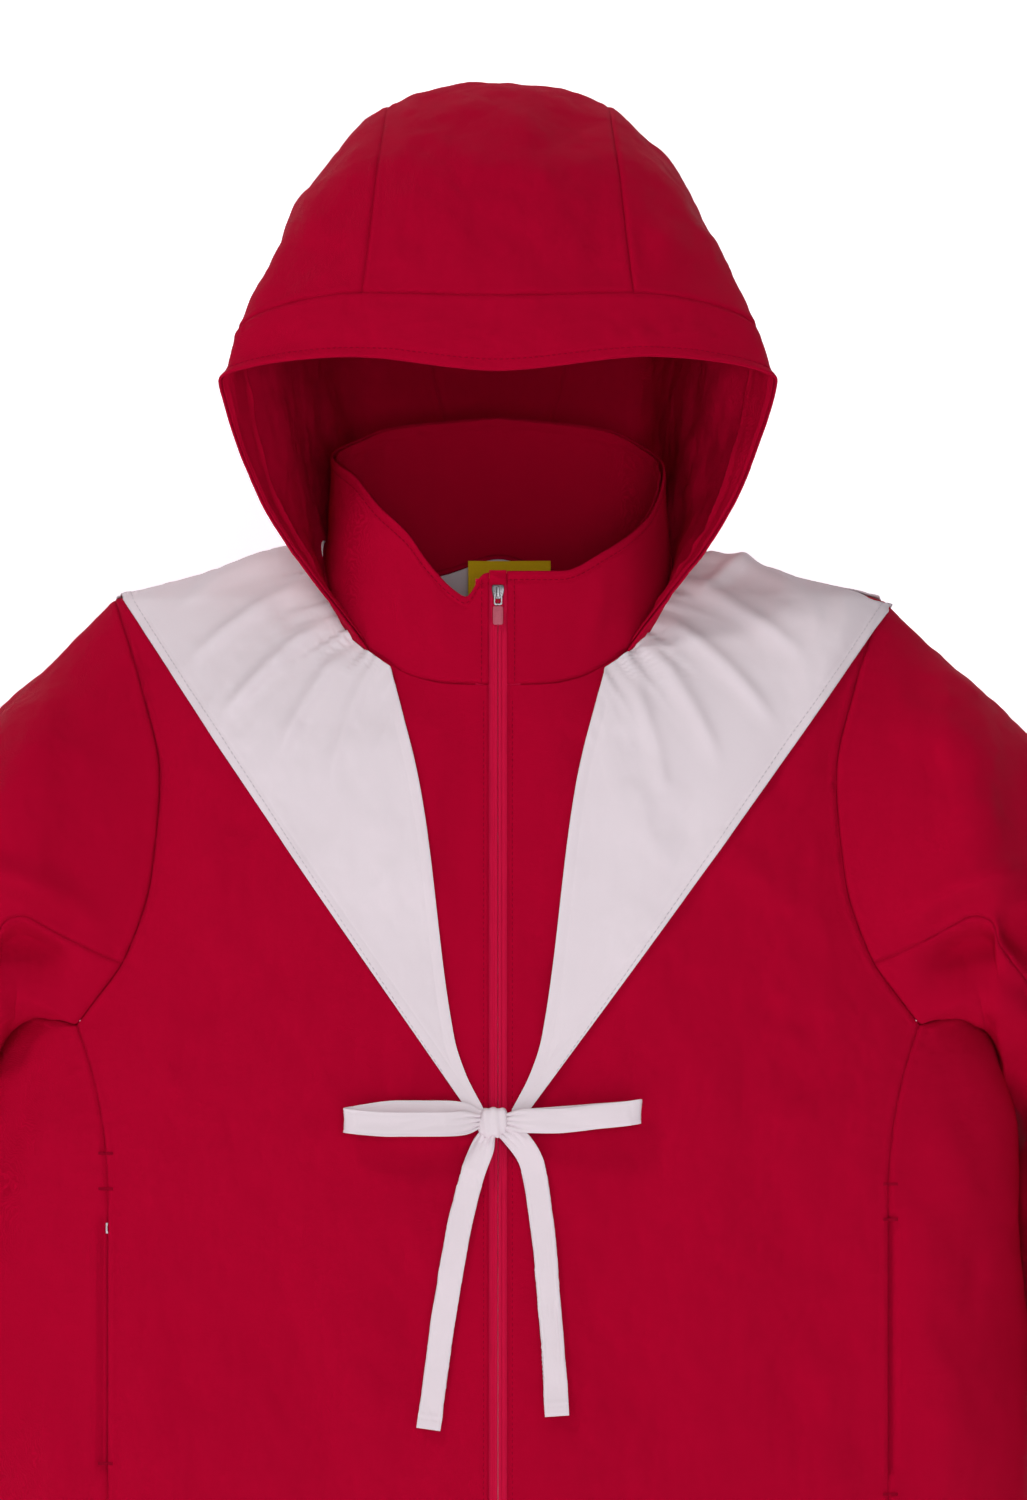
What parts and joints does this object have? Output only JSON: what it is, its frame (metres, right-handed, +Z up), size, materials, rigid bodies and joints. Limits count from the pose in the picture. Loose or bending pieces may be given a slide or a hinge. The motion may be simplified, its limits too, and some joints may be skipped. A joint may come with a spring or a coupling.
{
  "type": "hooded zip jacket",
  "caption": "Red hooded ski jacket with a full front zip, a pale sailor collar tied in a bow, set-in sleeves and side pockets.",
  "frame": {"origin": "middle of the back neck seam, where the hanger loop is sewn", "axes": "+Z up, the front faces -Y, +X towards the wearer's left"},
  "size_m": [0.952, 0.276, 0.949],
  "materials": {
    "shell_cloth": "matte woven shell cloth",
    "tie_cloth": "matte off-white cloth",
    "lining_cloth": "light grey lining",
    "zip_tape": "ribbed tape",
    "zip_coil": "moulded nylon",
    "thread": "dense stitching",
    "label_cloth": "woven, no lettering",
    "gunmetal": "satin",
    "puller_rubber": "matte"
  },
  "bodies": {
    "jacket": {"back_panel": "shell_cloth", "hem_facing": "shell_cloth", "collar_outer": "shell_cloth", "collar_facing": "shell_cloth", "zip_garage": "shell_cloth", "front_panel_left": "shell_cloth", "side_panel_left": "shell_cloth", "front_facing_left": "shell_cloth", "sailor_collar_left": "tie_cloth", "bow_loop_left": "tie_cloth", "bow_tail_left": "tie_cloth", "pocket_bag_left": "lining_cloth", "zip_tape_left": "zip_tape", "zip_coil_left": "zip_coil", "zip_top_stop_left": "gunmetal", "bar_tack_left_top": "thread", "bar_tack_left_upper": "thread", "bar_tack_left_lower": "thread", "front_panel_right": "shell_cloth", "side_panel_right": "shell_cloth", "front_facing_right": "shell_cloth", "sailor_collar_right": "tie_cloth", "bow_loop_right": "tie_cloth", "bow_tail_right": "tie_cloth", "pocket_bag_right": "lining_cloth", "zip_tape_right": "zip_tape", "zip_coil_right": "zip_coil", "zip_top_stop_right": "gunmetal", "bar_tack_right_top": "thread", "bar_tack_right_upper": "thread", "bar_tack_right_lower": "thread", "sailor_collar_back": "tie_cloth", "bow_knot": "tie_cloth", "lining_back": "lining_cloth", "hanger_loop": "lining_cloth", "neck_label": "label_cloth", "zip_box": "gunmetal", "zip_insertion_pin": "gunmetal"},
    "hood": {"hood_center_panel": "shell_cloth", "hood_side_left": "shell_cloth", "hood_side_right": "shell_cloth", "hood_brim_band": "shell_cloth", "hood_brim_facing": "shell_cloth"},
    "slider": {"slider_body": "gunmetal", "slider_bridge": "gunmetal"},
    "puller": {"puller_link": "gunmetal", "puller_tab": "puller_rubber"},
    "sleeve_left": {"sleeve_left_top": "shell_cloth", "sleeve_left_under": "shell_cloth", "sleeve_left_cuff": "shell_cloth"},
    "sleeve_right": {"sleeve_right_top": "shell_cloth", "sleeve_right_under": "shell_cloth", "sleeve_right_cuff": "shell_cloth"}
  },
  "joints": [
    {"name": "zip_slide", "type": "slide", "parent": "jacket", "child": "slider", "axis": [0, -0.041, -0.9992], "range_m": [0, 0.285]},
    {"name": "puller_swing", "type": "hinge", "parent": "slider", "child": "puller", "pos_m": [0, -0.08173, -0.02505], "axis": [-1, 0, 0], "range_deg": [0, 150]},
    {"name": "hood_fold", "type": "hinge", "parent": "jacket", "child": "hood", "pos_m": [0, 0.06, -0.012], "axis": [-1, 0, 0], "range_deg": [0, 60]},
    {"name": "sleeve_left_raise", "type": "hinge", "parent": "jacket", "child": "sleeve_left", "pos_m": [0.24, 0, -0.028], "axis": [0, -1, 0], "range_deg": [0, 45]},
    {"name": "sleeve_right_raise", "type": "hinge", "parent": "jacket", "child": "sleeve_right", "pos_m": [-0.24, 0, -0.028], "axis": [0, 1, 0], "range_deg": [0, 45]}
  ]
}
